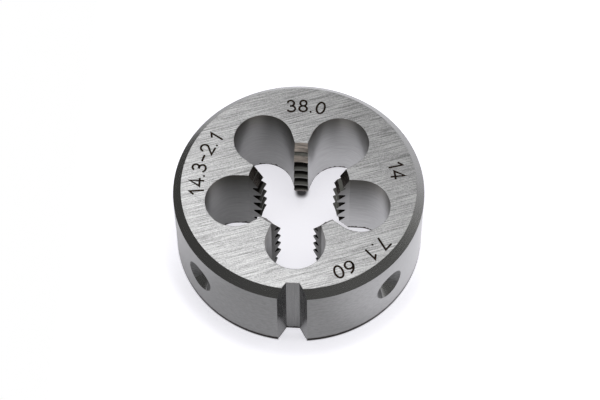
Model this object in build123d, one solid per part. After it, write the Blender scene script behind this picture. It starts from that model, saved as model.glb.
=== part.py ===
from build123d import *
import math
import os

# Round threading die of the solid type, for a right-hand Unified coarse thread.
# Millimetres. The thread axis is Z, the origin is on it at the lower face, and
# the adjusting notch points along -Y.

# Blank
outer_diameter = 38.0
thickness = 14.0
top_chamfer = 1.2
bottom_chamfer = 0.45

# Thread
thread_diameter = 14.2875
turns_per_inch = 12
thread_angle = 60.0
groove_height_at_notch = 0.75

# Lead chamfer that starts the cut, the same at both faces
lead_overrun = 0.63
lead_half_angle = 28.7

# Chip holes and the lands between them
chip_hole_count = 5
chip_hole_diameter = 9.0
chip_hole_circle_diameter = 19.83
land_tip_width = 2.3
land_neck_width = 2.0

# Adjusting notch, as deep as the blank is thick
notch_floor_width = 2.0
notch_depth = 2.25
notch_angle = 60.0

# Cone dimples for the set screws of the die stock, at mid height of the rim
dimple_diameter = 5.5
dimple_angle = 90.0
dimple_offset = 49.0

# How far a cutter runs past the surface that it cuts
cutter_overrun = 1.0

# Worked out from the sizes above
inch = 25.4
outer_radius = outer_diameter / 2
pitch = inch / turns_per_inch
flank_slope = math.tan(math.radians(thread_angle / 2))
sharp_depth = pitch / (2 * flank_slope)
thread_depth = sharp_depth * 17 / 24
root_flat = pitch / 8
root_radius = thread_diameter / 2
crest_radius = root_radius - thread_depth
lead_mouth_radius = root_radius + lead_overrun
lead_length = (lead_mouth_radius - crest_radius) / math.tan(math.radians(lead_half_angle))
hole_radius = chip_hole_diameter / 2
hole_circle_radius = chip_hole_circle_diameter / 2
land_step = 360 / chip_hole_count
notch_direction = 270.0
first_hole_angle = notch_direction


def polar(radius, angle):
    """Point in the XY plane at a radius and an angle in degrees from +X."""
    turn = math.radians(angle)
    return Vector(radius * math.cos(turn), radius * math.sin(turn))


def blank():
    """The turned disc with its two rim chamfers."""
    profile = Polyline(
        (0, 0),
        (outer_radius - bottom_chamfer, 0),
        (outer_radius, bottom_chamfer),
        (outer_radius, thickness - top_chamfer),
        (outer_radius - top_chamfer, thickness),
        (0, thickness),
        close=True,
    )
    return revolve(Plane.XZ * make_face(profile), Axis.Z)


def land_outline():
    """One land along +X: a little wider at the teeth, then flaring into the chip holes.

    Each side leaves the neck in a straight line that is tangent to the chip hole beside it.
    """
    half_tip = land_tip_width / 2
    half_neck = land_neck_width / 2
    hole_centre = polar(hole_circle_radius, land_step / 2)
    neck = Vector(lead_mouth_radius, half_neck)
    to_hole = hole_centre - neck
    tangent_length = math.sqrt(to_hole.length**2 - hole_radius**2)
    off_centre = math.degrees(math.atan2(hole_radius, tangent_length))
    flare = math.degrees(math.atan2(to_hole.Y, to_hole.X)) - off_centre
    touch = neck + polar(tangent_length, flare)
    half = [
        (crest_radius - cutter_overrun, half_tip),
        (neck.X, neck.Y),
        (touch.X, touch.Y),
        (touch.length + cutter_overrun, touch.Y),
    ]
    other_half = [(x, -y) for x, y in reversed(half)]
    return make_face(Polyline(*half, *other_half, close=True)), touch.length


def opening_outline():
    """Plan of the through opening: thread bore, chip holes and the throats between lands."""
    land, throat_radius = land_outline()
    opening = Circle(throat_radius)
    for index in range(chip_hole_count):
        hole_angle = first_hole_angle + index * land_step
        opening -= Rot(0, 0, hole_angle + land_step / 2) * land
    opening += Circle(crest_radius)
    for index in range(chip_hole_count):
        hole_angle = first_hole_angle + index * land_step
        opening += Pos(*polar(hole_circle_radius, hole_angle)) * Circle(hole_radius)
    return opening


def lead_cone():
    """Cutter for the lead chamfer at the lower face."""
    slope = math.tan(math.radians(lead_half_angle))
    wide = lead_mouth_radius + cutter_overrun * slope
    height = lead_length + cutter_overrun
    return Pos(0, 0, -cutter_overrun) * Cone(
        wide, crest_radius, height, align=(Align.CENTER, Align.CENTER, Align.MIN)
    )


def groove_segment():
    """The thread groove from the middle of one chip hole to the middle of the next.

    Four helices, one for each corner of the groove's section, carry ruled faces, and the
    section closes both ends. It starts at +X with its middle at height 0.
    """
    inner_radius = crest_radius - root_flat
    half_root = root_flat / 2
    half_mouth = half_root + (root_radius - inner_radius) * flank_slope
    corners = [
        (inner_radius, -half_mouth),
        (root_radius, -half_root),
        (root_radius, half_root),
        (inner_radius, half_mouth),
    ]
    rails = [
        Edge.make_helix(pitch, pitch / chip_hole_count, radius, center=(0, 0, rise)).edge()
        for radius, rise in corners
    ]
    sides = [
        Face.make_surface_from_curves(rails[index - 1], rails[index])
        for index in range(len(rails))
    ]
    ends = [
        Face(Wire.make_polygon([rail @ end for rail in rails], close=True))
        for end in (0, 1)
    ]
    return Solid(Shell(sides + ends))


def groove_cutters():
    """Every segment of the right-hand thread groove that reaches the die."""
    segment = groove_segment()
    segment_rise = pitch / chip_hole_count
    lowest = math.floor(-pitch / segment_rise)
    highest = math.ceil((thickness + pitch) / segment_rise)
    cutters = []
    for step in range(lowest, highest):
        height = groove_height_at_notch + step * segment_rise
        cutters.append(Pos(0, 0, height) * Rot(0, 0, first_hole_angle + step * land_step) * segment)
    return cutters


def notch_cutter():
    """Prism for the adjusting notch, flat at its floor and open at the rim."""
    spread = math.tan(math.radians(notch_angle / 2))
    floor = outer_radius - notch_depth
    reach = outer_radius + cutter_overrun
    half_floor = notch_floor_width / 2
    half_mouth = half_floor + (reach - floor) * spread
    outline = Polyline(
        (floor, -half_floor), (reach, -half_mouth), (reach, half_mouth), (floor, half_floor), close=True
    )
    prism = extrude(make_face(outline), thickness + 2 * cutter_overrun)
    return Pos(0, 0, -cutter_overrun) * Rot(0, 0, notch_direction) * prism


def dimple_cutter(angle):
    """Cone that points at the axis and meets the rim in a circle of the dimple's diameter."""
    slope = math.tan(math.radians(dimple_angle / 2))
    depth = dimple_diameter / 2 / slope
    mouth_radius = dimple_diameter / 2 + cutter_overrun * slope
    cone = Cone(0, mouth_radius, depth + cutter_overrun, align=(Align.CENTER, Align.CENTER, Align.MIN))
    outward = Rot(0, 90, 0) * cone
    return Pos(0, 0, thickness / 2) * Rot(0, 0, angle) * Pos(outer_radius - depth, 0, 0) * outward


def die():
    """The whole die, one solid."""
    body = blank() - extrude(opening_outline(), thickness)
    body -= lead_cone()
    body -= Pos(0, 0, thickness) * Rot(180, 0, 0) * lead_cone()
    body -= groove_cutters()
    body -= notch_cutter()
    for side in (-1, 1):
        body -= dimple_cutter(notch_direction + side * dimple_offset)
    return body.solid()


os.makedirs("parts", exist_ok=True)
export_step(die(), "parts/die.step")
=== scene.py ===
import math

import bpy
from bpy.props import (
    FloatProperty,
    FloatVectorProperty,
    PointerProperty,
    StringProperty,
)
from bpy.types import Operator, Panel, PropertyGroup
from mathutils import Matrix, Vector


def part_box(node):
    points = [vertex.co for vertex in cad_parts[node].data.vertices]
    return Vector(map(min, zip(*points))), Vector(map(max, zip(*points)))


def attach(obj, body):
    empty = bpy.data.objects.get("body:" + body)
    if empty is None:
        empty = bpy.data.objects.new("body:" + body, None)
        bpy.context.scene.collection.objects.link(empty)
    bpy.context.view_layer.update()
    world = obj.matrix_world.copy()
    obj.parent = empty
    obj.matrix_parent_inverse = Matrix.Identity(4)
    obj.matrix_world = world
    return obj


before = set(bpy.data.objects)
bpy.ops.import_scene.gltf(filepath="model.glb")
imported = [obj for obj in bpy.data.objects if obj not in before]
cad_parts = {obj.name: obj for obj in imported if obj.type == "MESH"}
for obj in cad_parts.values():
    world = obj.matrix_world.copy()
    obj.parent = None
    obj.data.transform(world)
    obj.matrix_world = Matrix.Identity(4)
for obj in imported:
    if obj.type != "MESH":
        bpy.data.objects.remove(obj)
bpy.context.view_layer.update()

bl_info = {
    "name": "Round Threading Die Finish",
    "version": (1, 0, 0),
    "blender": (4, 5, 0),
    "location": "3D View > Sidebar > Threading Die",
    "description": "Dresses a round threading die in ground and turned steel, with etched numbers",
    "category": "Object",
}

MM = 0.001
DIE = "die"
BODY = "root"
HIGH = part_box(DIE)[1]
TOP = HIGH.z
RIM_RADIUS = HIGH.y

# Where the die's surfaces lie, for sorting its faces by finish
CHAMFER_REACH = 1.35 * MM
NOTCH_HALF_MOUTH = 2.4 * MM
NOTCH_FLOOR = 16.75 * MM
DIMPLE_TIP = 16.05 * MM
CHIP_HOLE_COUNT = 5
CHIP_HOLE_RADIUS = 4.5 * MM
CHIP_HOLE_CIRCLE = 9.915 * MM
FIRST_CHIP_HOLE = 270
LAND_NECK = 7.80 * MM
LEAD_HALF_ANGLE = math.radians(28.7)
REAR_LAND_HALF = 1.6 * MM
LAND_FOOT = 7.2 * MM
NEAR = 0.1 * MM

# How steep the surfaces are: the Z of a face's normal, and its turn towards or from the axis
FLAT_TILT = 0.999
UPRIGHT_TILT = 0.01
CHAMFER_TILT = (0.6, 0.8)
CHAMFER_TURN = 0.6
THREAD_TILT = 0.05
LEAD_TILT = math.sin(LEAD_HALF_ANGLE)
LEAD_TILT_SPARE = 0.03
NOTCH_SIDE_TURN = 0.3
CREST_TURN = -0.9
RIM_TURN = 0.999

# How far the teeth and the lead chamfers reach
CREST_RADIUS = 6.05 * MM
GROOVE_RADIUS = 6.35 * MM
LEAD_DEPTH = 3.0 * MM
LEAD_BLEND = 0.3 * MM

# Painted contact shade at the feet of upright surfaces: lumpiness, dark height and clear height
WALL_FOOT_SHADE = (1.5 * MM, -0.60 * MM, -0.45 * MM)
RIM_FOOT_SHADE = (0.3 * MM, 0.52 * MM, 0.68 * MM)
NOTCH_FOOT_SHADE = (1.5 * MM, -0.40 * MM, -0.25 * MM)
FOOT_LUMP = (0.8 * MM, 0.8 * MM, 5.0 * MM)
FOOT_SHADE_COLOUR = (0.02, 0.015, 0.012)

# Wear, rounding and tone of the steel, with its painted shade and painted highlight
EDGE_ROUND = 0.12 * MM
NOISE_REACH = (0.25, 0.75)
NOTCH_SHADE = 0.80
# Painted shade that darkens the notch's sloping sides
NOTCH_SIDE_PAINTED_SHADE = 0.52
DIMPLE_SHADE = 0.75
LEAD_SHADE = 0.55
# Painted highlight that makes the rear land's lead chamfer lighter
WORN_LEAD_PAINTED_LIGHT = 1.1
# Painted shade at the chip holes' mouths: its tint, and the heights over which it fades out
HOLE_MOUTH_PAINTED_SHADE = (0.42, 0.40, 0.35)
HOLE_MOUTH_START = TOP + 1.0 * MM
HOLE_MOUTH_END = TOP - 5.5 * MM
# Colour of the painted shade deep in the thread grooves
GROOVE_SHADE_COLOUR = (0.012, 0.011, 0.010)
WORN_LEAD_RELIEF = 0.006 * MM
ETCH_PATCH = 0.25 * MM

# Grinding lines of the flat faces: fine ones, coarse ones and a speckle over both
FINE_SHARE = 0.5
COARSE_SHARE = 0.25
COARSE_TIMES = 3
COARSE_TURN = math.radians(2)
SPECKLE_SHARE = 0.25
SPECKLE = 0.16 * MM
FACE_LINES = (0.33, 0.67)
FACE_ROUGHNESS = (0.26, 0.36)
FACE_RELIEF = 0.0012 * MM

# Where the numbers stand: their baseline's radius, and the angle of their middle
NUMBER_PLACES = {
    "number_top": ("top_number", 13.5 * MM, 88),
    "number_right": ("right_number", 14.1 * MM, 13),
    "number_lower": ("low_number", 15.0 * MM, -51),
    "number_left": ("left_number", 14.4 * MM, 167),
}

# Floor: pairs are the places where a level starts and ends
UNDER_DIE = (15.5 * MM, 18 * MM)
DIE_INSIDE = (17.5 * MM, 16 * MM)
FOOT_OUTSIDE = (19.12 * MM, 18.85 * MM)
FOOT_INSIDE = (17.0 * MM, 18.0 * MM)
NOTCH_SIDE = (2.0 * MM, 2.3 * MM)
LAND_SHADOW_MIDDLE = (0, LAND_FOOT + 0.6 * MM, 0)
LAND_SHADOW_REACH = (1.75 * MM, 0.7 * MM)
LAND_SHADOW_SIDE = (1.6 * MM, 0.5 * MM)
LAND_SHADOW_DEPTH = 0.95
SHADOW_COLOUR = (0.02, 0.015, 0.01)
# Painted shadow in front of the die, as a dip in the floor's glow: where it starts and ends, and how
# deep it is
FRONT_DIP_OUTSIDE = (22.5 * MM, 20.3 * MM)
FRONT_DIP_INSIDE = (17.0 * MM, 18.5 * MM)
FRONT_DIP_START = (-2 * MM, -12 * MM)
FRONT_DIP_DEPTH = 0.2
UNDER_DIE_SHADE_LEVEL = 0.5

# Glow that the steel mirrors, round the die: across in X, along in Y, or out from the axis
NEAR_RIM_REACH = (26 * MM, 19.5 * MM)
NEAR_RIM_LEVEL = 0.26
RIGHT_ACROSS = (0, 20 * MM)
RIGHT_REACH = (44 * MM, 22 * MM)
LEFT_ACROSS = (-15 * MM, -22 * MM)
LEFT_ALONG = (25 * MM, 8 * MM)
REAR_ACROSS = (-26 * MM, -2 * MM)
REAR_ALONG = (-4 * MM, 16 * MM)

# Glow that the steel mirrors, within the die
SIDE_HOLES_START = (-7 * MM, -0.5 * MM)
SIDE_HOLES_END = (4.5 * MM, 3 * MM)
SIDE_HOLES_ACROSS = (-12 * MM, 0)
LEFT_HOLE_LEVEL = 0.55
REAR_HOLES_START = (3.5 * MM, 10.5 * MM)
WITHIN_ACROSS = (-8 * MM, 8 * MM)
WITHIN_LEFT_LEVEL = 0.4

# Light of the room
ROOM_COLOUR = (1.0, 1.0, 0.98)
ROOM_LEVEL = 0.12
REAR_CEILING_LEVEL = 0.11
RIGHT_SIDE_LEVEL = 0.10
LOW_WALL_LEVEL = 0.42
OVERHEAD_LEVEL = 0.32

# Lamps, in metres and degrees
KEY_SOFT_BOX = {
    "place": (-0.1305, 0.1137, 0.314),
    "turn": 50.3,
    "width": 0.26,
    "depth": 0.42,
    "radiance": 2.5,
}
FILL_SOFT_BOX = {
    "place": (0.06, 0.08, 0.70),
    "turn": 0.0,
    "width": 0.5,
    "depth": 0.5,
    "radiance": 3.2,
}


# ---------------------------------------------------------------- settings


class DieSteelSettings(PropertyGroup):
    """Colours and scratches of the steel."""

    face_colour: FloatVectorProperty(
        name="Ground face", description="Colour of the ground flat faces",
        subtype="COLOR", size=3, min=0, max=1, default=(0.33, 0.33, 0.332),
    )
    chamfer_colour: FloatVectorProperty(
        name="Turned chamfer", description="Colour of the turned edge chamfers",
        subtype="COLOR", size=3, min=0, max=1, default=(0.30, 0.30, 0.295),
    )
    rim_colour: FloatVectorProperty(
        name="Ground rim", description="Colour of the rim, the notch and the dimples",
        subtype="COLOR", size=3, min=0, max=1, default=(0.245, 0.245, 0.242),
    )
    hole_colour: FloatVectorProperty(
        name="Bored holes", description="Colour of the chip hole walls",
        subtype="COLOR", size=3, min=0, max=1, default=(0.34, 0.34, 0.336),
    )
    tooth_colour: FloatVectorProperty(
        name="Cut teeth", description="Colour of the thread flanks",
        subtype="COLOR", size=3, min=0, max=1, default=(0.13, 0.13, 0.12),
    )
    lead_colour: FloatVectorProperty(
        name="Lead chamfer", description="Colour of the ground lead chamfers",
        subtype="COLOR", size=3, min=0, max=1, default=(0.53, 0.465, 0.42),
    )
    scratch_direction: FloatProperty(
        name="Scratch direction",
        description="Direction of the grinding lines on the flat faces",
        subtype="ANGLE", default=math.radians(18.5),
    )
    scratch_width: FloatProperty(
        name="Scratch width", description="Width of one grinding line",
        subtype="DISTANCE", unit="LENGTH", default=0.065 * MM, precision=5,
    )
    scratch_length: FloatProperty(
        name="Scratch length", description="Usual length of one grinding line",
        subtype="DISTANCE", unit="LENGTH", default=4.5 * MM, precision=5,
    )
    scratch_contrast: FloatProperty(
        name="Scratch contrast",
        description="How much lighter and darker the grinding lines are",
        default=0.68, min=0, max=1,
    )


class DieMarkSettings(PropertyGroup):
    """The etched numbers."""

    top_number: StringProperty(
        name="Top number", description="Number opposite the notch", default="38.0",
    )
    right_number: StringProperty(
        name="Right number", description="Number on the right", default="14",
    )
    low_number: StringProperty(
        name="Lower number", description="Number at the lower right", default="7.1  60",
    )
    left_number: StringProperty(
        name="Left number", description="Number on the left", default="14.3-2.1",
    )
    cap_height: FloatProperty(
        name="Digit height", description="Height of a digit",
        subtype="DISTANCE", unit="LENGTH", default=2.05 * MM, precision=5,
    )
    line_width: FloatProperty(
        name="Line width", description="Width of an etched line",
        subtype="DISTANCE", unit="LENGTH", default=0.32 * MM, precision=5,
    )
    relief: FloatProperty(
        name="Relief",
        description="How far the dark oxide of an etched line stands proud of the steel",
        subtype="DISTANCE", unit="LENGTH", default=0.004 * MM, precision=6,
    )
    colour: FloatVectorProperty(
        name="Etch colour", description="Colour of the etched lines",
        subtype="COLOR", size=3, min=0, max=1, default=(0.014, 0.007, 0.004),
    )


class DieStageSettings(PropertyGroup):
    """Floor, lights and camera."""

    floor_size: FloatProperty(
        name="Floor size", description="Side of the square floor",
        subtype="DISTANCE", unit="LENGTH", default=3.0,
    )
    floor_left: FloatProperty(
        name="Floor at the left",
        description="How far the floor reaches to the left of the thread axis",
        subtype="DISTANCE", unit="LENGTH", default=36.0 * MM,
    )
    floor_colour: FloatVectorProperty(
        name="Floor colour", description="Colour of the pale floor",
        subtype="COLOR", size=3, min=0, max=1, default=(0.90, 0.90, 0.93),
    )
    glow: FloatProperty(
        name="Floor glow", description="Light that the floor gives off round the die",
        default=0.62, min=0,
    )
    inner_glow: FloatProperty(
        name="Inner glow", description="Light that the floor gives off within the die",
        default=0.66, min=0,
    )
    mirrored_glow: FloatVectorProperty(
        name="Mirrored glow",
        description="Floor light in the steel's reflections, at the front, left, right and rear",
        size=4, default=(0.235, 0.65, 1.15, 0.55), min=0,
    )
    glow_colour: FloatVectorProperty(
        name="Glow colour", description="Colour of the floor's own light",
        subtype="COLOR", size=3, min=0, max=1, default=(0.95, 0.94, 1.0),
    )
    glow_start: FloatProperty(
        name="Glow start",
        description="Distance from the thread axis where the outer glow starts",
        subtype="DISTANCE", unit="LENGTH", default=18.0 * MM,
    )
    glow_end: FloatProperty(
        name="Glow end",
        description="Distance from the thread axis where the outer glow is full",
        subtype="DISTANCE", unit="LENGTH", default=22.0 * MM,
    )
    camera_aim: FloatVectorProperty(
        name="Camera aim", description="Point that the camera looks at",
        subtype="XYZ", unit="LENGTH", size=3, precision=5,
        default=(0.33 * MM, -2.494 * MM, 14.0 * MM),
    )
    camera_distance: FloatProperty(
        name="Camera distance", description="Distance from the camera to its aim",
        subtype="DISTANCE", unit="LENGTH", default=316.21 * MM,
    )
    camera_turn: FloatProperty(
        name="Camera turn",
        description="Turn of the camera about the thread axis, from -Y towards +X",
        subtype="ANGLE", default=math.radians(3.388),
    )
    camera_rise: FloatProperty(
        name="Camera rise", description="Angle of the camera above the floor",
        subtype="ANGLE", default=math.radians(58.489),
    )
    camera_roll: FloatProperty(
        name="Camera roll", description="Roll of the camera about its own axis",
        subtype="ANGLE", default=math.radians(-0.435),
    )
    focal_length: FloatProperty(
        name="Focal length", description="Lens of the camera on a sensor 36 mm wide",
        default=126.48, min=1,
    )


# ---------------------------------------------------------------- materials


def new_material(name):
    """Empty node material, with its Principled shader."""
    material = bpy.data.materials.new(name)
    material.use_nodes = True
    tree = material.node_tree
    shader = tree.nodes["Principled BSDF"]
    return material, tree, shader


def add_node(tree, kind, **inputs):
    """Node of a kind, with sockets set by name."""
    node = tree.nodes.new(kind)
    for socket, value in inputs.items():
        node.inputs[socket.replace("_", " ")].default_value = value
    return node


def combine(tree, operation, first, second=None, third=None):
    """Result of an operation on node outputs and numbers."""
    node = tree.nodes.new("ShaderNodeMath")
    node.operation = operation
    for socket, value in zip(node.inputs, (first, second, third)):
        if isinstance(value, bpy.types.NodeSocket):
            tree.links.new(value, socket)
        elif value is not None:
            socket.default_value = value
    return node.outputs["Value"]


def product(tree, *factors):
    """Product of node outputs and numbers."""
    result = factors[0]
    for factor in factors[1:]:
        result = combine(tree, "MULTIPLY", result, factor)
    return result


def largest(tree, *values):
    """Largest of some node outputs."""
    result = values[0]
    for value in values[1:]:
        result = combine(tree, "MAXIMUM", result, value)
    return result


def smooth_range(tree, value, start, end):
    """Value that rises smoothly from 0 at one limit to 1 at another."""
    smooth = add_node(tree, "ShaderNodeMapRange", From_Min=start, From_Max=end)
    smooth.interpolation_type = "SMOOTHSTEP"
    tree.links.new(value, smooth.inputs["Value"])
    return smooth.outputs["Result"]


def spread(tree, value, low, high):
    """Noise value, over its usual reach, mapped to a range."""
    start, end = NOISE_REACH
    mapped = add_node(
        tree, "ShaderNodeMapRange", From_Min=start, From_Max=end, To_Min=low, To_Max=high,
    )
    tree.links.new(value, mapped.inputs["Value"])
    return mapped.outputs["Result"]


def vector_math(tree, operation, first, second=None):
    """Node that works on a vector and, where one is given, on a fixed vector."""
    node = tree.nodes.new("ShaderNodeVectorMath")
    node.operation = operation
    tree.links.new(first, node.inputs[0])
    if second is not None:
        node.inputs[1].default_value = second
    return node


def object_place(tree):
    """Object coordinates."""
    return tree.nodes.new("ShaderNodeTexCoord").outputs["Object"]


def split(tree, vector):
    """X, Y and Z of a vector."""
    parts = tree.nodes.new("ShaderNodeSeparateXYZ")
    tree.links.new(vector, parts.inputs["Vector"])
    return parts.outputs["X"], parts.outputs["Y"], parts.outputs["Z"]


def blend(tree, factor, first, second):
    """First colour at 0 and second at 1. Each is a plain colour or a node output."""
    mix = tree.nodes.new("ShaderNodeMix")
    mix.data_type = "RGBA"
    tree.links.new(factor, mix.inputs["Factor"])
    for socket, colour in (("A", first), ("B", second)):
        if isinstance(colour, bpy.types.NodeSocket):
            tree.links.new(colour, mix.inputs[socket])
        else:
            mix.inputs[socket].default_value = (*colour, 1)
    return mix.outputs["Result"]


def scaled(colour, level):
    """Colour made lighter or darker, and never above white."""
    return [min(1, channel * level) for channel in colour]


def line_noise(tree, vector, detail):
    """Noise value over stretched coordinates."""
    noise = add_node(tree, "ShaderNodeTexNoise", Scale=1.0, Detail=detail, Roughness=0.55)
    tree.links.new(vector, noise.inputs["Vector"])
    return noise.outputs["Fac"]


def stretched(tree, turn, sizes):
    """Object coordinates turned about Z and divided by a cell size on each axis."""
    turned = add_node(tree, "ShaderNodeVectorRotate", Angle=-turn)
    turned.rotation_type = "Z_AXIS"
    tree.links.new(object_place(tree), turned.inputs["Vector"])
    return vector_math(tree, "DIVIDE", turned.outputs["Vector"], sizes).outputs["Vector"]


def soft_edges(tree):
    """Normal that turns over the sharp edges."""
    return add_node(tree, "ShaderNodeBevel", Radius=EDGE_ROUND).outputs["Normal"]


def bump(tree, shader, value, depth):
    """Fine relief from a value, over edges that are a little rounded."""
    relief = add_node(tree, "ShaderNodeBump", Strength=1.0, Distance=depth)
    tree.links.new(soft_edges(tree), relief.inputs["Normal"])
    tree.links.new(value, relief.inputs["Height"])
    tree.links.new(relief.outputs["Normal"], shader.inputs["Normal"])


def shade_over(tree, shader, colour, factor):
    """Plain colour over the shader's own where a factor is 0."""
    own = shader.inputs["Base Color"].links[0].from_socket
    tree.links.new(blend(tree, factor, colour, own), shader.inputs["Base Color"])


def foot_shade_line(tree, lumpiness, start, end):
    """0 on the thin dark line of painted contact shade at the foot of an upright surface, and 1 above
    it.
    """
    height = split(tree, object_place(tree))[2]
    lumps = line_noise(tree, stretched(tree, 0.0, FOOT_LUMP), detail=2.0)
    wavy = combine(tree, "MULTIPLY_ADD", lumps, -lumpiness, height)
    return smooth_range(tree, wavy, start, end)


def steel(name, colour, roughness, grain, contrast, painted_foot_shade=None):
    """Bare steel with a grain of lines.

    grain is the cell size of the lines on each axis, and roughness is its range. Returns the
    material, its tree, its shader and the lines' value.
    """
    material, tree, shader = new_material(name)
    shader.inputs["Metallic"].default_value = 1.0
    lines = line_noise(tree, stretched(tree, 0.0, grain), detail=4.0)
    level = spread(tree, lines, 0.0, 1.0)
    shade = blend(tree, level, scaled(colour, 1 - contrast), scaled(colour, 1 + contrast))
    tree.links.new(shade, shader.inputs["Base Color"])
    # Painted contact shade: a thin dark line along the foot, where one is asked for
    if painted_foot_shade:
        shade_over(tree, shader, FOOT_SHADE_COLOUR, foot_shade_line(tree, *painted_foot_shade))
    tree.links.new(spread(tree, lines, *roughness), shader.inputs["Roughness"])
    return material, tree, shader, lines


def blur_upright(tree, shader, amount):
    """Stretch the gloss up and down, as level tool lines do."""
    upright = add_node(tree, "ShaderNodeCombineXYZ", Z=1.0)
    tree.links.new(upright.outputs["Vector"], shader.inputs["Tangent"])
    shader.inputs["Anisotropic"].default_value = amount


def face_steel(settings):
    """Flat face ground in straight lines, short fine ones among long coarse ones."""
    material, tree, shader = new_material("ground_face")
    shader.inputs["Metallic"].default_value = 1.0
    width, length = settings.scratch_width, settings.scratch_length
    turn = settings.scratch_direction
    fine = line_noise(tree, stretched(tree, turn, (length, width, length)), detail=3.0)
    coarse_cell = [COARSE_TIMES * size for size in (length, width, length)]
    coarse = line_noise(tree, stretched(tree, turn + COARSE_TURN, coarse_cell), detail=2.0)
    speckle = line_noise(tree, stretched(tree, 0.0, (SPECKLE, SPECKLE, SPECKLE)), detail=3.0)
    lines = product(tree, coarse, COARSE_SHARE)
    lines = combine(tree, "MULTIPLY_ADD", speckle, SPECKLE_SHARE, lines)
    lines = combine(tree, "MULTIPLY_ADD", fine, FINE_SHARE, lines)
    level = smooth_range(tree, lines, *FACE_LINES)
    dark = scaled(settings.face_colour, 1 - settings.scratch_contrast)
    light = scaled(settings.face_colour, 1 + settings.scratch_contrast)
    tree.links.new(blend(tree, level, dark, light), shader.inputs["Base Color"])
    tree.links.new(spread(tree, lines, *FACE_ROUGHNESS), shader.inputs["Roughness"])
    bump(tree, shader, lines, FACE_RELIEF)
    return material


def chamfer_steel(settings):
    """Turned edge chamfer, nearly smooth."""
    return steel(
        "turned_chamfer", settings.chamfer_colour,
        roughness=(0.24, 0.28), grain=(3.0 * MM, 3.0 * MM, 0.10 * MM), contrast=0.03,
    )[0]


def rim_steel(settings):
    """Rim ground round in fine level lines, with a painted contact shade along its foot."""
    return steel(
        "ground_rim", settings.rim_colour,
        roughness=(0.34, 0.42), grain=(0.7 * MM, 0.7 * MM, 0.25 * MM), contrast=0.2,
        painted_foot_shade=RIM_FOOT_SHADE,
    )[0]


def hole_steel(settings):
    """Bored wall with faint level lines, with a painted contact shade along its foot and painted shade
    that darkens it towards its mouth.
    """
    material, tree, shader, _ = steel(
        "bored_hole", settings.hole_colour,
        roughness=(0.32, 0.40), grain=(2.5 * MM, 2.5 * MM, 0.28 * MM), contrast=0.15,
        painted_foot_shade=WALL_FOOT_SHADE,
    )
    tree.links.new(soft_edges(tree), shader.inputs["Normal"])
    blur_upright(tree, shader, amount=0.4)
    # Painted shade, darkest at the hole's mouth
    mouth_shade_colour = [
        channel * shade for channel, shade in zip(settings.hole_colour, HOLE_MOUTH_PAINTED_SHADE)
    ]
    height = split(tree, object_place(tree))[2]
    below_mouth = smooth_range(tree, height, HOLE_MOUTH_START, HOLE_MOUTH_END)
    shade_over(tree, shader, mouth_shade_colour, below_mouth)
    return material


def dimple_steel(settings):
    """Drilled cone with turned lines."""
    return steel(
        "drilled_dimple", scaled(settings.rim_colour, DIMPLE_SHADE),
        roughness=(0.58, 0.70), grain=(0.7 * MM, 0.7 * MM, 0.18 * MM), contrast=0.5,
    )[0]


def tooth_steel(settings):
    """Cut flanks of the thread, with a painted contact shade along their foot and painted shade,
    nearly black, in the grooves below the lead chamfer.
    """
    material, tree, shader, _ = steel(
        "cut_teeth", settings.tooth_colour,
        roughness=(0.28, 0.40), grain=(0.6 * MM, 0.6 * MM, 0.05 * MM), contrast=0.2,
        painted_foot_shade=WALL_FOOT_SHADE,
    )
    # Painted shade: nearly black deep in the grooves, below the lead chamfer
    place = object_place(tree)
    level_place = vector_math(tree, "MULTIPLY", place, (1, 1, 0)).outputs["Vector"]
    reach = vector_math(tree, "LENGTH", level_place).outputs["Value"]
    crest = smooth_range(tree, reach, GROOVE_RADIUS, CREST_RADIUS)
    lead_floor = TOP - LEAD_DEPTH
    lead = smooth_range(tree, split(tree, place)[2], lead_floor - LEAD_BLEND, lead_floor)
    shade_over(tree, shader, GROOVE_SHADE_COLOUR, largest(tree, crest, lead))
    return material


def lead_steel(settings):
    """Lead chamfer of the lands beside the chip holes."""
    return steel(
        "lead_chamfer", scaled(settings.lead_colour, LEAD_SHADE),
        roughness=(0.20, 0.30), grain=(0.6 * MM, 0.6 * MM, 0.07 * MM), contrast=0.2,
    )[0]


def worn_and_lit_lead_steel(settings):
    """Lead chamfer of the rear land, which is duller and worn, with a painted highlight that makes it
    lighter.
    """
    material, tree, shader, lines = steel(
        "worn_lead_chamfer", scaled(settings.lead_colour, WORN_LEAD_PAINTED_LIGHT),
        roughness=(0.50, 0.65), grain=(1.6 * MM, 1.6 * MM, 0.16 * MM), contrast=0.72,
    )
    bump(tree, shader, lines, WORN_LEAD_RELIEF)
    shader.inputs["Metallic"].default_value = 0.3
    return material


def notch_steel(settings, name="milled_notch", shade=NOTCH_SHADE):
    """Notch milled along the axis, with a painted contact shade along its foot."""
    return steel(
        name, scaled(settings.rim_colour, shade),
        roughness=(0.22, 0.30), grain=(0.10 * MM, 0.10 * MM, 6.0 * MM), contrast=0.16,
        painted_foot_shade=NOTCH_FOOT_SHADE,
    )[0]


def notch_side_steel(settings):
    """Sloping sides of the notch, made darker by painted shade."""
    return notch_steel(settings, "milled_notch_side", NOTCH_SIDE_PAINTED_SHADE)


def etch_material(settings):
    """Dark oxide left in the steel by etching."""
    material, tree, shader = new_material("etched_mark")
    cells = stretched(tree, 0.0, (ETCH_PATCH, ETCH_PATCH, ETCH_PATCH))
    level = spread(tree, line_noise(tree, cells, detail=3.0), 0.0, 1.0)
    shade = blend(tree, level, scaled(settings.colour, 0.5), scaled(settings.colour, 1.6))
    tree.links.new(shade, shader.inputs["Base Color"])
    shader.inputs["Roughness"].default_value = 0.6
    shader.inputs["Specular IOR Level"].default_value = 0.1
    return material


# ---------------------------------------------------------------- steel zones


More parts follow.
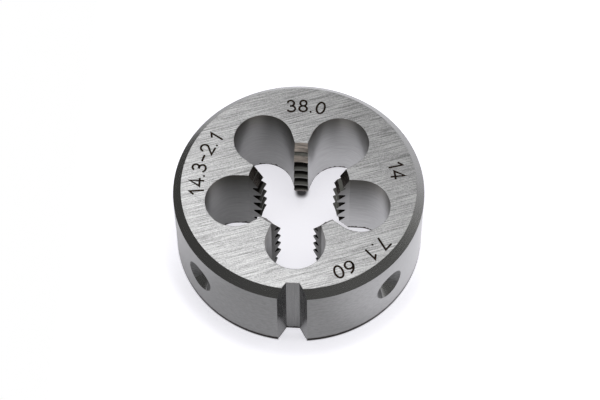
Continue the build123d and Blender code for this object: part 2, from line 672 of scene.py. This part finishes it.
def chip_hole_distance(point):
    """Distance in plan from a point to the middle of the nearest chip hole."""
    distances = []
    for index in range(CHIP_HOLE_COUNT):
        angle = math.radians(FIRST_CHIP_HOLE + 360 / CHIP_HOLE_COUNT * index)
        middle = Vector((math.cos(angle), math.sin(angle))) * CHIP_HOLE_CIRCLE
        distances.append((point.xy - middle).length)
    return min(distances)


def zone_of(point, normal):
    """Name of the finish that a face of the die has, from its middle and its normal."""
    radius = point.xy.length
    tilt = abs(normal.z)
    if tilt > FLAT_TILT and min(point.z, TOP - point.z) < NEAR / 10:
        return "face"
    outward = normal.xy.dot(point.xy) / radius
    upright = tilt < UPRIGHT_TILT
    least, most = CHAMFER_TILT
    if radius > RIM_RADIUS - CHAMFER_REACH and least < tilt < most and outward > CHAMFER_TURN:
        return "chamfer"
    if abs(point.x) < NOTCH_HALF_MOUTH and point.y < NEAR - NOTCH_FLOOR and upright:
        if outward < RIM_TURN or radius < RIM_RADIUS - NEAR:
            return "notch_side" if abs(normal.x) > NOTCH_SIDE_TURN else "notch"
    if radius > RIM_RADIUS - NEAR / 2 and upright:
        return "rim"
    if radius > DIMPLE_TIP:
        return "dimple"
    if radius < LAND_NECK and tilt > THREAD_TILT:
        if outward < 0 and abs(tilt - LEAD_TILT) < LEAD_TILT_SPARE:
            return "worn_lead" if abs(point.x) < REAR_LAND_HALF and point.y > 0 else "lead"
        return "tooth"
    off_hole = chip_hole_distance(point) > CHIP_HOLE_RADIUS + NEAR / 2
    if radius < LAND_NECK and outward < CREST_TURN and off_hole:
        return "tooth"
    return "hole"


ZONE_STEEL = {
    "face": face_steel,
    "chamfer": chamfer_steel,
    "rim": rim_steel,
    "hole": hole_steel,
    "tooth": tooth_steel,
    "lead": lead_steel,
    "worn_lead": worn_and_lit_lead_steel,
    "notch": notch_steel,
    "notch_side": notch_side_steel,
    "dimple": dimple_steel,
}


class DIE_OT_finish_steel(Operator):
    """Give each surface of the die its own steel finish"""

    bl_idname = "threading_die.finish_steel"
    bl_label = "Finish the steel"

    def execute(self, context):
        settings = context.scene.die_steel
        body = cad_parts[DIE]
        slots = {}
        body.data.materials.clear()
        for zone, make in ZONE_STEEL.items():
            slots[zone] = len(body.data.materials)
            body.data.materials.append(make(settings))
        for face in body.data.polygons:
            face.material_index = slots[zone_of(face.center, face.normal)]
        return {"FINISHED"}


# ---------------------------------------------------------------- etched numbers


def arc(x, y, across, up, start, end, steps=14):
    """Points of an elliptic arc, with its angles in degrees."""
    points = []
    for step in range(steps + 1):
        angle = math.radians(start + (end - start) * step / steps)
        points.append((x + across * math.cos(angle), y + up * math.sin(angle)))
    return points


# Each digit as single lines, one unit high and standing on the baseline
DIGITS = {
    "0": [arc(0.32, 0.5, 0.30, 0.5, 90, 450, 28)],
    "1": [[(0.08, 0.76), (0.34, 1.0), (0.34, 0.0)]],
    "2": [arc(0.31, 0.70, 0.29, 0.30, 170, -35) + [(0.02, 0.0), (0.62, 0.0)]],
    "3": [arc(0.29, 0.75, 0.25, 0.25, 150, -90) + arc(0.29, 0.26, 0.30, 0.26, 90, -150)],
    "4": [[(0.66, 0.28), (0.02, 0.28), (0.48, 1.0), (0.48, 0.0)]],
    "5": [[(0.58, 1.0), (0.12, 1.0), (0.06, 0.55)] + arc(0.29, 0.31, 0.31, 0.31, 130, -145)],
    "6": [arc(0.32, 0.31, 0.30, 0.31, 90, 450, 24), arc(0.72, 0.31, 0.70, 0.69, 180, 112, 8)],
    "7": [[(0.02, 1.0), (0.62, 1.0), (0.22, 0.0)]],
    "8": [arc(0.31, 0.75, 0.24, 0.25, -90, 270, 22), arc(0.31, 0.25, 0.29, 0.25, 90, 450, 22)],
    "9": [arc(0.32, 0.69, 0.30, 0.31, -90, 270, 24), arc(-0.08, 0.69, 0.70, 0.69, 0, -68, 8)],
    ".": [[(0.08, 0.0), (0.08, 0.02)]],
    "-": [[(0.06, 0.45), (0.52, 0.45)]],
    " ": [],
}
DIGIT_ADVANCE = {".": 0.42, "-": 0.82, " ": 0.55, "1": 0.72}
USUAL_ADVANCE = 0.90
DIGIT_START = 0.42
SHARPEST_CORNER = 0.45
CAP_TIP = 0.3


def ribbon(line, half_width, cap_steps=5):
    """Outline of a line of some width with round ends, as left and right points."""
    points = [Vector(point) for point in line]
    closed = (points[0] - points[-1]).length < 1e-6
    if closed:
        points = points[:-1]
    count = len(points)
    rows = []
    for index, point in enumerate(points):
        before = points[index - 1] if index or closed else None
        after = points[(index + 1) % count] if index < count - 1 or closed else None
        ways = []
        if before is not None:
            ways.append((point - before).normalized())
        if after is not None:
            ways.append((after - point).normalized())
        along = sum(ways, Vector((0, 0))).normalized()
        side = Vector((-along.y, along.x))
        reach = half_width / max(SHARPEST_CORNER, along.dot(ways[0]))
        rows.append((point + side * reach, point - side * reach))
    if not closed:
        rows = end_cap(points[0], points[1], half_width, cap_steps)[::-1] + rows
        rows += [(b, a) for a, b in end_cap(points[-1], points[-2], half_width, cap_steps)]
    return rows, closed


def end_cap(tip, inner, half_width, steps):
    """Rows that round off a line's end, from the tip outwards."""
    outward = (tip - inner).normalized()
    side = Vector((outward.y, -outward.x))
    rows = []
    for step in range(1, steps + 1):
        angle = math.pi / 2 * step / (steps + CAP_TIP)
        middle = tip + outward * half_width * math.sin(angle)
        reach = half_width * math.cos(angle)
        rows.append((middle + side * reach, middle - side * reach))
    return rows


def add_ribbon(verts, faces, line, half_width, place, low, high):
    """Thin closed band along a line, set in the die's face by a placing function."""
    rows, closed = ribbon(line, half_width)
    start = len(verts)
    for left, right in rows:
        for x, y in (left, right):
            px, py = place(x, y)
            verts.append((px, py, high))
            verts.append((px, py, low))
    count = len(rows)
    for index in range(count if closed else count - 1):
        a = start + 4 * index
        b = start + 4 * ((index + 1) % count)
        faces.append((a, a + 2, b + 2, b))
        faces.append((a + 1, b + 1, b + 3, a + 3))
        faces.append((a, b, b + 1, a + 1))
        faces.append((a + 2, a + 3, b + 3, b + 2))
    if not closed:
        last = start + 4 * (count - 1)
        faces.append((start, start + 1, start + 3, start + 2))
        faces.append((last, last + 2, last + 3, last + 1))


def number_mesh(name, number, radius, middle_angle, settings):
    """Etched number that follows a circle, with its digits' feet towards the thread axis."""
    height = settings.cap_height
    advances = [DIGIT_ADVANCE.get(digit, USUAL_ADVANCE) * height for digit in number]
    total = sum(advances)
    verts, faces = [], []
    travelled = -total / 2
    for digit, advance in zip(number, advances):
        turn = math.radians(middle_angle) - (travelled + advance / 2) / (radius + height / 2)
        across = Vector((math.sin(turn), -math.cos(turn)))
        upward = Vector((math.cos(turn), math.sin(turn)))
        foot = upward * radius - across * advance * DIGIT_START

        def place(x, y, foot=foot, across=across, upward=upward):
            return foot + across * x + upward * y

        for line in DIGITS[digit]:
            sized = [(x * height, y * height) for x, y in line]
            low = TOP - settings.relief * 2
            high = TOP + settings.relief
            add_ribbon(verts, faces, sized, settings.line_width / 2, place, low, high)
        travelled += advance
    mesh = bpy.data.meshes.new(name)
    mesh.from_pydata(verts, [], faces)
    mesh.update()
    return mesh


class DIE_OT_etch_numbers(Operator):
    """Etch plain numbers round the marked face"""

    bl_idname = "threading_die.etch_numbers"
    bl_label = "Etch the numbers"

    def execute(self, context):
        settings = context.scene.die_marks
        material = etch_material(settings)
        for name, (wording, radius, angle) in NUMBER_PLACES.items():
            number = getattr(settings, wording)
            piece = bpy.data.objects.new(name, number_mesh(name, number, radius, angle, settings))
            context.scene.collection.objects.link(piece)
            piece.data.materials.append(material)
            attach(piece, BODY)
        return {"FINISHED"}


# ---------------------------------------------------------------- stage


def contact_shadow(tree, place, reach):
    """1 in the dark ring at the die's foot and under the rear land, and 0 away from them."""
    x, y, _ = split(tree, place)
    aside = combine(tree, "ABSOLUTE", x)
    outside_notch = largest(
        tree, smooth_range(tree, aside, *NOTCH_SIDE), smooth_range(tree, y, 0.0, 1 * MM),
    )
    ring = product(
        tree,
        smooth_range(tree, reach, *FOOT_OUTSIDE),
        smooth_range(tree, reach, *FOOT_INSIDE),
        outside_notch,
    )
    away = vector_math(tree, "DISTANCE", place, LAND_SHADOW_MIDDLE).outputs["Value"]
    land = product(
        tree,
        smooth_range(tree, away, *LAND_SHADOW_REACH),
        smooth_range(tree, aside, *LAND_SHADOW_SIDE),
        LAND_SHADOW_DEPTH,
    )
    return largest(tree, ring, land)


def rising_level(tree, value, limits, start_level):
    """Level that rises smoothly to 1 between two limits."""
    risen = smooth_range(tree, value, *limits)
    return combine(tree, "MULTIPLY_ADD", risen, 1 - start_level, start_level)


def mirrored_floor(tree, place, reach, levels):
    """Glow of the floor as the steel mirrors it, with a level for each side of the die."""
    x, y, _ = split(tree, place)
    front, left, right, rear = levels
    near_rim = smooth_range(tree, reach, *NEAR_RIM_REACH)
    round_die = largest(
        tree,
        combine(tree, "MULTIPLY_ADD", near_rim, NEAR_RIM_LEVEL, front),
        product(
            tree, smooth_range(tree, x, *RIGHT_ACROSS), smooth_range(tree, reach, *RIGHT_REACH), right,
        ),
        product(tree, smooth_range(tree, x, *LEFT_ACROSS), smooth_range(tree, y, *LEFT_ALONG), left),
        product(tree, smooth_range(tree, x, *REAR_ACROSS), smooth_range(tree, y, *REAR_ALONG), rear),
    )

    side_holes = product(
        tree,
        smooth_range(tree, y, *SIDE_HOLES_START),
        smooth_range(tree, y, *SIDE_HOLES_END),
        rising_level(tree, x, SIDE_HOLES_ACROSS, LEFT_HOLE_LEVEL),
    )
    rear_holes = smooth_range(tree, y, *REAR_HOLES_START)
    across = rising_level(tree, x, WITHIN_ACROSS, WITHIN_LEFT_LEVEL)
    within_die = product(tree, largest(tree, side_holes, rear_holes), across, right)

    inside = smooth_range(tree, reach, *DIE_INSIDE)
    outside = product(tree, combine(tree, "SUBTRACT", 1.0, inside), round_die)
    return combine(tree, "MULTIPLY_ADD", inside, within_die, outside)


def floor_material(settings):
    """Pale floor, lit by the lamps and glowing a little round the die and within it, with painted
    shade under the die and painted shadows at its foot and in front of it.

    Only the camera and the reflections see the glow.
    """
    material, tree, shader = new_material("pale_floor")
    shader.inputs["Roughness"].default_value = 0.9
    shader.inputs["Specular IOR Level"].default_value = 0.0
    place = object_place(tree)
    reach = vector_math(tree, "LENGTH", place).outputs["Value"]
    y = split(tree, place)[1]
    clear = combine(tree, "SUBTRACT", 1.0, contact_shadow(tree, place, reach))

    # Painted shade: the floor's colour is darker under the die
    shade_under_die = rising_level(tree, reach, UNDER_DIE, UNDER_DIE_SHADE_LEVEL)
    shade = blend(tree, product(tree, clear, shade_under_die), SHADOW_COLOUR, settings.floor_colour)
    tree.links.new(shade, shader.inputs["Base Color"])

    outwards = smooth_range(tree, reach, settings.glow_start, settings.glow_end)
    glow_step = settings.glow - settings.inner_glow
    even = combine(tree, "MULTIPLY_ADD", outwards, glow_step, settings.inner_glow)
    # Painted shadow in front of the die, where the glow dips
    front_shadow = product(
        tree,
        smooth_range(tree, reach, *FRONT_DIP_OUTSIDE),
        smooth_range(tree, y, *FRONT_DIP_START),
        smooth_range(tree, reach, *FRONT_DIP_INSIDE),
    )
    dipped = combine(tree, "MULTIPLY_ADD", front_shadow, -FRONT_DIP_DEPTH, 1.0)
    seen = product(tree, even, dipped, clear)

    path = tree.nodes.new("ShaderNodeLightPath")
    mirrored = mirrored_floor(tree, place, reach, settings.mirrored_glow)
    mirrored = product(tree, path.outputs["Is Glossy Ray"], mirrored)
    glow = combine(tree, "MULTIPLY_ADD", path.outputs["Is Camera Ray"], seen, mirrored)
    shader.inputs["Emission Color"].default_value = (*settings.glow_colour, 1)
    tree.links.new(glow, shader.inputs["Emission Strength"])
    return material


def facing(tree, direction, way, start, end):
    """How far a direction turns to a way, from 0 at one cosine to 1 at another."""
    cosine = vector_math(tree, "DOT_PRODUCT", direction, Vector(way).normalized())
    return smooth_range(tree, cosine.outputs["Value"], start, end)


def studio_world(scene):
    """White to the camera, and to all else a dim room, paler overhead, behind and at the right."""
    world = bpy.data.worlds.new("studio")
    world.use_nodes = True
    tree = world.node_tree
    background = tree.nodes["Background"]
    direction = tree.nodes.new("ShaderNodeTexCoord").outputs["Generated"]
    up = facing(tree, direction, (0, 0, 1), 0.35, 0.80)
    behind = facing(tree, direction, (-0.2, 1, 0), 0.0, 0.6)
    right = facing(tree, direction, (1, 0, 0), -0.3, 0.7)
    wall = facing(tree, direction, (0.85, 0.52, 0), 0.60, 0.98)
    low = facing(tree, direction, (0, 0, -1), -0.30, -0.02)
    overhead = facing(tree, direction, (-0.25, -0.30, 0.92), 0.78, 0.96)
    room = ROOM_LEVEL
    for part, level in (
        (product(tree, up, behind), REAR_CEILING_LEVEL),
        (right, RIGHT_SIDE_LEVEL),
        (product(tree, wall, low), LOW_WALL_LEVEL),
        (overhead, OVERHEAD_LEVEL),
    ):
        room = combine(tree, "MULTIPLY_ADD", part, level, room)
    camera_ray = tree.nodes.new("ShaderNodeLightPath").outputs["Is Camera Ray"]
    shade = blend(tree, camera_ray, ROOM_COLOUR, (1, 1, 1))
    tree.links.new(shade, background.inputs["Color"])
    strength = tree.nodes.new("ShaderNodeMix")
    strength.data_type = "FLOAT"
    strength.inputs["B"].default_value = 1.0
    tree.links.new(camera_ray, strength.inputs["Factor"])
    tree.links.new(room, strength.inputs["A"])
    tree.links.new(strength.outputs["Result"], background.inputs["Strength"])
    scene.world = world


def soft_box(name, place, turn, width, depth, radiance):
    """Level rectangular lamp of an even radiance, turned about the vertical."""
    lamp = bpy.data.lights.new(name, "AREA")
    lamp.shape = "RECTANGLE"
    lamp.size = width
    lamp.size_y = depth
    lamp.energy = radiance * math.pi * width * depth
    holder = bpy.data.objects.new(name, lamp)
    holder.location = place
    holder.rotation_euler.z = math.radians(turn)
    bpy.context.scene.collection.objects.link(holder)
    return holder


class DIE_OT_set_stage(Operator):
    """Set the floor, the lights and the camera"""

    bl_idname = "threading_die.set_stage"
    bl_label = "Set the stage"

    def execute(self, context):
        scene = context.scene
        settings = scene.die_stage
        scene.view_settings.view_transform = "Standard"
        half = settings.floor_size / 2
        left = -settings.floor_left
        mesh = bpy.data.meshes.new("floor")
        corners = [(left, -half, 0), (half, -half, 0), (half, half, 0), (left, half, 0)]
        mesh.from_pydata(corners, [], [(0, 1, 2, 3)])
        floor = bpy.data.objects.new("floor", mesh)
        floor.data.materials.append(floor_material(settings))
        scene.collection.objects.link(floor)
        studio_world(scene)
        key = soft_box("key_soft_box", **KEY_SOFT_BOX)
        key.visible_diffuse = False
        fill = soft_box("fill_soft_box", **FILL_SOFT_BOX)
        fill.visible_glossy = False
        self.set_camera(scene, settings)
        return {"FINISHED"}

    def set_camera(self, scene, settings):
        """Camera on its arc round the aim, then rolled about its own axis."""
        rise, turn = settings.camera_rise, settings.camera_turn
        flat = math.cos(rise)
        away = Vector((flat * math.sin(turn), -flat * math.cos(turn), math.sin(rise)))
        camera = bpy.data.objects.new("camera", bpy.data.cameras.new("camera"))
        camera.data.sensor_width = 36
        camera.data.lens = settings.focal_length
        camera.data.clip_start = 0.01
        level = away.to_track_quat("Z", "Y").to_matrix().to_4x4()
        roll = Matrix.Rotation(settings.camera_roll, 4, "Z")
        spot = Vector(settings.camera_aim) + away * settings.camera_distance
        camera.matrix_world = Matrix.Translation(spot) @ level @ roll
        scene.collection.objects.link(camera)
        scene.camera = camera


# ---------------------------------------------------------------- panel


class DIE_PT_panel(Panel):
    """Lists the steps that dress the die"""

    bl_label = "Threading Die"
    bl_idname = "DIE_PT_panel"
    bl_space_type = "VIEW_3D"
    bl_region_type = "UI"
    bl_category = "Threading Die"

    def draw(self, context):
        layout = self.layout
        for owner in (context.scene.die_steel, context.scene.die_marks, context.scene.die_stage):
            box = layout.box()
            for name in owner.__annotations__:
                box.prop(owner, name)
        for step in STEPS:
            layout.operator(step.bl_idname)


STEPS = (DIE_OT_finish_steel, DIE_OT_etch_numbers, DIE_OT_set_stage)
CLASSES = (DieSteelSettings, DieMarkSettings, DieStageSettings, *STEPS, DIE_PT_panel)


def register():
    for cls in CLASSES:
        bpy.utils.register_class(cls)
    bpy.types.Scene.die_steel = PointerProperty(type=DieSteelSettings)
    bpy.types.Scene.die_marks = PointerProperty(type=DieMarkSettings)
    bpy.types.Scene.die_stage = PointerProperty(type=DieStageSettings)


def unregister():
    del bpy.types.Scene.die_stage
    del bpy.types.Scene.die_marks
    del bpy.types.Scene.die_steel
    for cls in reversed(CLASSES):
        bpy.utils.unregister_class(cls)


def main():
    register()
    bpy.ops.threading_die.finish_steel()
    bpy.ops.threading_die.etch_numbers()
    bpy.ops.threading_die.set_stage()


if __name__ == "__main__":
    main()
